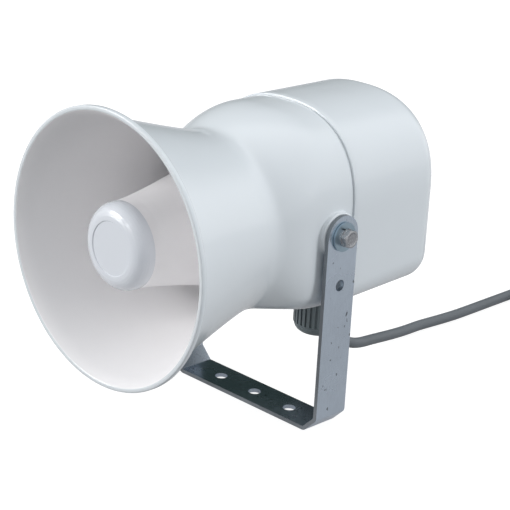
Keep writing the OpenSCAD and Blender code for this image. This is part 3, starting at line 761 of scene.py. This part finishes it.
# %% [markdown]
# ## How the finishes are made
#
# Every finish here is a Principled shader with its colour, roughness and a small bump fed
# by noise in the object's own coordinates, so nothing depends on an image or on the view.
# Moulded plastic differs from steel only in the numbers: how strong the mottling is, how
# fine the grain, and how much the highlight spreads. Values that are the same all over are
# set on the shader itself. The first helpers start a finish, lay noise in it, and turn the
# noise into shades.

# %% Noise and shades
def new_finish(name):
    finish = bpy.data.materials.new(name)
    finish.use_nodes = True
    nodes, links = finish.node_tree.nodes, finish.node_tree.links
    shader = nodes["Principled BSDF"]
    place = nodes.new("ShaderNodeTexCoord")
    return finish, nodes, links, shader, place.outputs["Object"]


def grain(nodes, links, place, scale, detail, rough=0.55, stretch=(1, 1, 1)):
    """Noise of so many cells a metre, stretched along an axis if asked."""
    stretched = nodes.new("ShaderNodeMapping")
    stretched.inputs["Scale"].default_value = stretch
    links.new(place, stretched.inputs["Vector"])
    noise = nodes.new("ShaderNodeTexNoise")
    noise.inputs["Scale"].default_value = scale
    noise.inputs["Detail"].default_value = detail
    noise.inputs["Roughness"].default_value = rough
    links.new(stretched.outputs["Vector"], noise.inputs["Vector"])
    return noise.outputs["Fac"]


def shades(nodes, links, fac, stops):
    """A colour ramp: stops are (position, colour or grey)."""
    ramp = nodes.new("ShaderNodeValToRGB")
    marks = ramp.color_ramp.elements
    for mark, (position, colour) in zip(marks, stops, strict=True):
        mark.position = position
        rgb = (colour,) * 3 if isinstance(colour, (int, float)) else colour
        mark.color = (*rgb, 1)
    links.new(fac, ramp.inputs["Fac"])
    return ramp.outputs["Color"]


print("finishes so far:", len(bpy.data.materials))

# %% [markdown]
# ## Blends and relief
#
# Dust and pits lie on a base colour, so one value has to choose between two colours. A
# relief bends the light as small dents would, without more faces. Its depth is in metres,
# so it stays in scale with the piece.

# %% Blends, relief and tints
def blend_colours(nodes, links, fac, a, b):
    """Mixes a and b. Each input is a number, a colour or another node's output."""
    mix = nodes.new("ShaderNodeMix")
    mix.data_type = "RGBA"
    for value, socket in ((fac, mix.inputs[0]), (a, mix.inputs[6]), (b, mix.inputs[7])):
        if isinstance(value, (int, float)):
            socket.default_value = value
        elif isinstance(value, tuple):
            socket.default_value = (*value, 1)
        else:
            links.new(value, socket)
    return mix.outputs[2]


def bump(nodes, links, shader, height, depth, strength):
    relief = nodes.new("ShaderNodeBump")
    relief.inputs["Strength"].default_value = strength
    relief.inputs["Distance"].default_value = depth
    links.new(height, relief.inputs["Height"])
    links.new(relief.outputs["Normal"], shader.inputs["Normal"])


def tinted(colour, share):
    """A colour made darker or lighter by a share, at most white."""
    return tuple(min(c * share, 1) for c in colour)


print("a zinc grey made 15 % lighter:", [round(c, 2) for c in tinted((0.54, 0.61, 0.69), 1.15)])

# %% [markdown]
# ## Moulded plastics
#
# The housing is a cool white gloss moulding. Large mouldings are never quite even: the
# colour drifts a little and the gloss ripples like orange peel. The reflector is warmer and
# duller. The bell's inside gets the same duller, lighter and warmer colour, which on one
# moulding with its outside is painted light. The nose is the bluest and glossiest. The gland
# and the lead have a fine dust on them. One recipe makes all of them, with the colour, the
# dullness, the drift, the peel, the coat and the dust as its numbers.

# %% Plastic recipe
def moulded(name, colour, dull, drift=0.03, peel=0.00015, peel_scale=70, coat=0.0, dust=0.0):
    finish, nodes, links, shader, place = new_finish(name)
    wide = grain(nodes, links, place, 9, 4)
    tone = shades(nodes, links, wide,
                  [(0.30, tinted(colour, 1 - drift)), (0.70, tinted(colour, 1 + drift))])
    if dust:
        specks = grain(nodes, links, place, 900, 2, 0.7)
        spotted = shades(nodes, links, specks, [(0.66, 0.0), (0.74, 1.0)])
        tone = blend_colours(nodes, links, spotted, tone, tinted(colour, 1 - dust))
    links.new(tone, shader.inputs["Base Color"])
    fine = grain(nodes, links, place, 60, 3)
    links.new(shades(nodes, links, fine, [(0.3, dull * 0.9), (0.7, min(dull * 1.12, 1))]),
              shader.inputs["Roughness"])
    bump(nodes, links, shader, grain(nodes, links, place, peel_scale, 0), peel, 0.25)
    shader.inputs["Coat Weight"].default_value = coat
    shader.inputs["Coat Roughness"].default_value = 0.12
    shader.inputs["IOR"].default_value = 1.5
    return finish


housing_gloss = moulded("housing_gloss", (0.70, 0.74, 0.77), 0.22, 0.012, coat=0.3)
# The reflector's own colour. On the bell's inside faces the same colour is painted light.
reflector_and_painted_light = moulded("reflector_satin", (0.87, 0.86, 0.87), 0.36, 0.015)
nose_gloss = moulded("nose_gloss", (0.71, 0.74, 0.79), 0.2, 0.01, coat=0.5)
throat_satin = moulded("throat_satin", (0.26, 0.27, 0.29), 0.5)
black_satin = moulded("black_satin", (0.012, 0.012, 0.014), 0.5, 0.1)
gland_satin = moulded("gland_satin", (0.150, 0.180, 0.190), 0.42, 0.14, 0.0001, 300, dust=0.3)
jacket_satin = moulded("jacket_satin", (0.125, 0.138, 0.150), 0.50, 0.10, 0.0001, 350, dust=0.2)
seal_matt = moulded("seal_matt", (0.030, 0.030, 0.032), 0.75, 0.1)
foam_matt = moulded("foam_matt", (0.20, 0.21, 0.22), 0.85, 0.1, 0.0002, 600)
core_red = moulded("core_red", (0.40, 0.018, 0.014), 0.42, 0.05)
core_black = moulded("core_black", (0.02, 0.02, 0.022), 0.42, 0.05)
film_amber = moulded("film_amber", (0.45, 0.17, 0.03), 0.3)
board_brown = moulded("board_brown", (0.09, 0.03, 0.012), 0.6)
block_ivory = moulded("block_ivory", (0.60, 0.55, 0.42), 0.45)
print("finishes after the plastics:", len(bpy.data.materials))

# %% [markdown]
# ## Metals
#
# The strap is zinc-plated steel that has gone dull: grey, with long faint streaks from
# rolling, cloudy patches, and small dark pits. The bolts are smoother and more worn, with
# strong clouds in their plating, and the plain washers have a blue tint from their coating.
# All are metals in the shader, so what they show is mostly the studio round them, spread by
# their roughness.

# %% Metal recipe
def plated(name, colour, dull, streak=(1, 1, 1), pits=0.0, cloud=0.10, depth=0.00005,
           scale=160):
    finish, nodes, links, shader, place = new_finish(name)
    lines = grain(nodes, links, place, scale, 5, 0.6, streak)
    patches = grain(nodes, links, place, 24, 4, 0.6)
    clouded = shades(nodes, links, patches,
                     [(0.3, tinted(colour, 1 - cloud)), (0.7, tinted(colour, 1 + cloud))])
    streaked = shades(nodes, links, lines,
                      [(0.3, tinted(colour, 0.8)), (0.7, tinted(colour, 1.15))])
    tone = blend_colours(nodes, links, 0.35, clouded, streaked)
    if pits:
        spots = grain(nodes, links, place, 210, 2, 0.5)
        spotted = shades(nodes, links, spots, [(0.69, 0.0), (0.73, 1.0)])
        tone = blend_colours(nodes, links, spotted, tone, tinted(colour, pits))
    links.new(tone, shader.inputs["Base Color"])
    links.new(shades(nodes, links, patches, [(0.3, dull * 0.85), (0.7, min(dull * 1.15, 1))]),
              shader.inputs["Roughness"])
    shader.inputs["Metallic"].default_value = 1.0
    bump(nodes, links, shader, lines, depth, 0.4)
    return finish


strap_zinc = plated("strap_zinc", (0.54, 0.61, 0.69), 0.27, (1, 14, 1), pits=0.3)
bolt_zinc = plated("bolt_zinc", (0.42, 0.43, 0.45), 0.16, cloud=0.4, depth=0.002, scale=900)
# Darker steel for the strap's sheared edges: bare steel, and painted shade on the edge faces.
sheared_steel = plated("sheared_steel", (0.24, 0.26, 0.28), 0.45, cloud=0.3)
washer_blue = plated("washer_blue", (0.35, 0.45, 0.52), 0.34, cloud=0.15)
plate_zinc = plated("plate_zinc", (0.5, 0.51, 0.53), 0.35)
screw_zinc = plated("screw_zinc", (0.55, 0.56, 0.58), 0.3)
core_steel = plated("core_steel", (0.16, 0.165, 0.18), 0.5, (1, 1, 30))
ferrite_grey = plated("ferrite_grey", (0.035, 0.035, 0.04), 0.6)
winding_copper = plated("winding_copper", (0.75, 0.30, 0.14), 0.34, (1, 1, 12))
insert_brass = plated("insert_brass", (0.75, 0.52, 0.20), 0.3)
strand_copper = plated("strand_copper", (0.85, 0.42, 0.25), 0.28)
print("finishes after the metals:", len(bpy.data.materials))

# %% [markdown]
# ## Dress every piece
#
# The solid model's own nodes that are already the right shape keep their meshes and only
# get a finish. The pieces made here get theirs by the start of their name. A last look makes
# sure that no piece was forgotten.

# %% Assign the finishes
def dress(obj, finish):
    obj.data.materials.clear()
    obj.data.materials.append(finish)


node_finishes = {
    "reflector": reflector_and_painted_light, "throat_tube": throat_satin, "reflector_screws": screw_zinc,
    "nose_cap": nose_gloss, "throat_gasket": seal_matt, "phase_plug": black_satin,
    "diaphragm": film_amber, "voice_coil": winding_copper, "top_plate": plate_zinc,
    "ring_magnet": ferrite_grey, "magnet_yoke": plate_zinc, "driver_screws": screw_zinc,
    "driver_terminals": board_brown, "transformer_core": core_steel,
    "transformer_winding": winding_copper, "transformer_screws": screw_zinc,
    "terminal_block": block_ivory, "thread_inserts": insert_brass, "housing_seal": foam_matt,
    "cover_screws": screw_zinc, "spring_washers": bolt_zinc, "plain_washers": washer_blue,
    "gland_body": gland_satin, "gland_washer": seal_matt, "gland_locknut": gland_satin,
    "gland_seal": seal_matt, "gland_nut": gland_satin}
for node, finish in node_finishes.items():
    dress(frame["nodes"][node], finish)
piece_finishes = {
    "front_moulding": housing_gloss, "rear_moulding": housing_gloss, "pivot_boss": housing_gloss,
    "screw_well": housing_gloss, "strap": strap_zinc, "bolt": bolt_zinc, "lead_tie": black_satin,
    "lead": jacket_satin, "core_inner": core_red, "core_outer": core_black,
    "strand": strand_copper}
for obj in list(bpy.context.scene.objects):
    if obj.type == "MESH" and "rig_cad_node" not in obj:
        for start, finish in piece_finishes.items():
            if obj.name.startswith(start):
                dress(obj, finish)
                break
bare = [o.name for o in bpy.context.scene.objects if o.type == "MESH"
        and not o.hide_render and not o.data.materials]
print("pieces without a finish:", bare)

# %% [markdown]
# ## Sheared edges, and painted light in the bell
#
# The strip was plated before it was cut, so its sheared edges are bare steel. Their darker
# colour is partly that bare steel and partly painted shade on the edge faces. Those faces take
# a second finish, picked by place and by which way they face. The bell's inside takes the
# reflector's duller, lighter and warmer colour, which on one moulding with its outside is
# painted light. It is picked by its distance from the axis: a face that lies deeper than the
# skin outside it is an inside face.

# %% Sheared edges, and painted light in the bell's inside
SKIN_DEPTH, LIP_DEPTH = 0.0006, 0.0025
# The strap's edge faces take the darker steel: bare steel with painted shade.
strap.data.materials.append(sheared_steel)
for face in strap.data.polygons:
    from_pivot = math.hypot(face.center.y, face.center.z - PIVOT_Z)
    on_end = face.center.z > PIVOT_Z and from_pivot > 0.0115 and abs(face.normal.x) < 0.6
    on_side = abs(face.center.y) > STRAP_W / 2 - 0.001 and abs(face.normal.y) > 0.6
    face.material_index = int(on_end or on_side)
# The bell's inside faces take the lighter reflector colour: painted light.
front_moulding.data.materials.append(reflector_and_painted_light)
for face in front_moulding.data.polygons:
    from_axis = math.hypot(face.center.x, face.center.z - PIVOT_Z)
    h = -face.center.y
    skin_r = RIM_R - LIP_DEPTH if h > BELL_END else neck_outside(h) - SKIN_DEPTH
    face.material_index = int(h > BULKHEAD - 0.001 and from_axis < skin_r)
for piece in (strap, front_moulding):
    second = sum(face.material_index for face in piece.data.polygons)
    print(piece.name, "has", second, "faces in its second finish")

# %% [markdown]
# ## Floor
#
# The object stands on plain white. The floor is one wide face a fifth of a millimetre under
# the bracket, so the two don't fight for the same place.

# %% Floor
floor_mesh = bpy.data.meshes.new("floor")
floor_mesh.from_pydata([(-6, -6, 0), (6, -6, 0), (6, 6, 0), (-6, 6, 0)], [], [(0, 1, 2, 3)])
floor = bpy.data.objects.new("floor", floor_mesh)
floor.location.z = -0.0002
bpy.context.scene.collection.objects.link(floor)
print("floor:", round(floor.dimensions.x), "m wide")

# %% [markdown]
# ## The floor's white
#
# The sheet is grey and lit like the object. It is lifted to white where the camera looks at
# it, and by less where a reflection does, so it keeps a soft shadow and doesn't light up the
# shade under the horn. A brighter floor or more lamps would make it white too, but they
# would bleach the pale object with it.

# %% Floor finish
def light_path(nodes, links, *kinds):
    """1 for rays of any of these kinds, otherwise 0."""
    path = nodes.new("ShaderNodeLightPath")
    value = path.outputs[kinds[0]]
    for kind in kinds[1:]:
        either = nodes.new("ShaderNodeMath")
        either.operation = "MAXIMUM"
        links.new(value, either.inputs[0])
        links.new(path.outputs[kind], either.inputs[1])
        value = either.outputs["Value"]
    return value


sheet = bpy.data.materials.new("white_sheet")
sheet.use_nodes = True
nodes, links = sheet.node_tree.nodes, sheet.node_tree.links
nodes.clear()
out = nodes.new("ShaderNodeOutputMaterial")
both = nodes.new("ShaderNodeAddShader")
diffuse = nodes.new("ShaderNodeBsdfDiffuse")
diffuse.inputs["Color"].default_value = (0.25, 0.25, 0.25, 1)
lift = nodes.new("ShaderNodeEmission")
mirrored = blend_colours(nodes, links, light_path(nodes, links, "Is Glossy Ray"),
                         (0.0, 0.0, 0.0), (0.30, 0.30, 0.31))
lifted = blend_colours(nodes, links,
                       light_path(nodes, links, "Is Camera Ray", "Is Transmission Ray"),
                       mirrored, (0.89, 0.89, 0.89))
links.new(lifted, lift.inputs["Color"])
links.new(diffuse.outputs["BSDF"], both.inputs[0])
links.new(lift.outputs["Emission"], both.inputs[1])
links.new(both.outputs["Shader"], out.inputs["Surface"])
floor_mesh.materials.append(sheet)
print("floor finish:", len(nodes), "nodes")

# %% [markdown]
# ## The room round the object
#
# To the camera the room is plain white. Metal shows the same white, but for one dark patch
# high behind on the left, like an unlit doorway: the base of the strap mirrors just that
# place to the camera, and that is why it looks nearly black beside the grey leg. The patch
# is placed by direction in the room, so it stays put when the camera moves. All other rays
# get a soft grey light from everywhere.

# %% World
DOORWAY = Vector((-0.60, 0.66, 0.40)).normalized()
world = bpy.data.worlds.new("studio")
bpy.context.scene.world = world
world.use_nodes = True
nodes, links = world.node_tree.nodes, world.node_tree.links
nodes.clear()
out = nodes.new("ShaderNodeOutputWorld")
sky = nodes.new("ShaderNodeBackground")
direction = nodes.new("ShaderNodeTexCoord")
towards = nodes.new("ShaderNodeVectorMath")
towards.operation = "DOT_PRODUCT"
towards.inputs[1].default_value = DOORWAY
links.new(direction.outputs["Generated"], towards.inputs[0])
doorway = shades(nodes, links, towards.outputs["Value"],
                 [(0.70, 1.0), (0.86, (0.028, 0.044, 0.040))])
soft = blend_colours(nodes, links, light_path(nodes, links, "Is Glossy Ray"),
                     (0.49, 0.51, 0.53), doorway)
shown = blend_colours(nodes, links,
                      light_path(nodes, links, "Is Camera Ray", "Is Transmission Ray"),
                      soft, (1.0, 1.0, 1.0))
links.new(shown, sky.inputs["Color"])
links.new(sky.outputs["Background"], out.inputs["Surface"])
print("world:", len(nodes), "nodes, doorway towards", [round(v, 2) for v in DOORWAY])

# %% [markdown]
# ## Lamps
#
# A small lamp in front shapes the bell and its shoulder, and a wider, stronger one on the
# left reaches into the bell. On the right a small one stands a little behind the object: it
# makes the flank bright and lays the leg's shadow on it. A wide one above fills the top. The
# last two stay out of reflections, or they would draw bright patches on the smooth housing.

# %% Lamps
AIM = Vector((0, 0, 0.12))


def lamp(name, towards, size, share, tint=(1, 1, 1), distance=2.0):
    """A square lamp that adds this share of full light at the object's middle."""
    data = bpy.data.lights.new(name, "AREA")
    data.shape = "SQUARE"
    data.size = size
    data.energy = share * math.pi ** 2 * distance ** 2
    data.color = tint
    obj = bpy.data.objects.new(name, data)
    bpy.context.scene.collection.objects.link(obj)
    obj.location = AIM + Vector(towards).normalized() * distance
    obj.rotation_euler = (AIM - obj.location).to_track_quat("-Z", "Y").to_euler()
    return obj


lamp("key_front", (-0.10, -0.90, 0.42), 0.45, 0.15)
lamp("left_front", (-0.62, -0.75, 0.30), 0.8, 0.52, (1, 0.99, 0.975))
side_lamp = lamp("fill_right", (0.86, 0.46, 0.22), 0.5, 0.40, (0.97, 0.985, 1))
top_lamp = lamp("top_back", (0.05, 0.40, 0.92), 1.6, 0.42)
for quiet in (side_lamp, top_lamp):
    quiet.visible_glossy = False
bpy.context.scene.view_settings.view_transform = "Standard"
